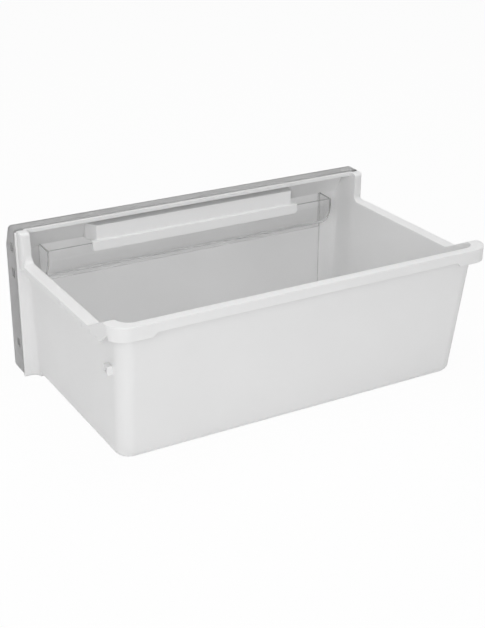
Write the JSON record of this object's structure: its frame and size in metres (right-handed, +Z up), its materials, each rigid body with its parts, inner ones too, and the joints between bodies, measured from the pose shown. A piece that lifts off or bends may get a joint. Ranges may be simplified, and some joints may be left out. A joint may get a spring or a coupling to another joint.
{
  "type": "freezer drawer",
  "caption": "Deep white freezer drawer with side rails, a raised rear rim and a grey clip-on front with a finger pocket.",
  "frame": {"origin": "centre of the bounding box on the plane that the bin's floor stands on", "axes": "+Z up out of the open bin, -Y out of the front panel, +X across the front"},
  "size_m": [0.455, 0.2906, 0.178],
  "materials": {
    "white_moulding": "satin moulded polystyrene",
    "grey_panel": "fine grained moulded ABS",
    "clear_trough": "polished clear polystyrene",
    "white_cover": "smooth moulded ABS"
  },
  "bodies": {
    "root": {"bin": "white_moulding", "front_panel": "grey_panel", "finger_trough": "clear_trough", "grip_cover": "white_cover"}
  },
  "joints": []
}
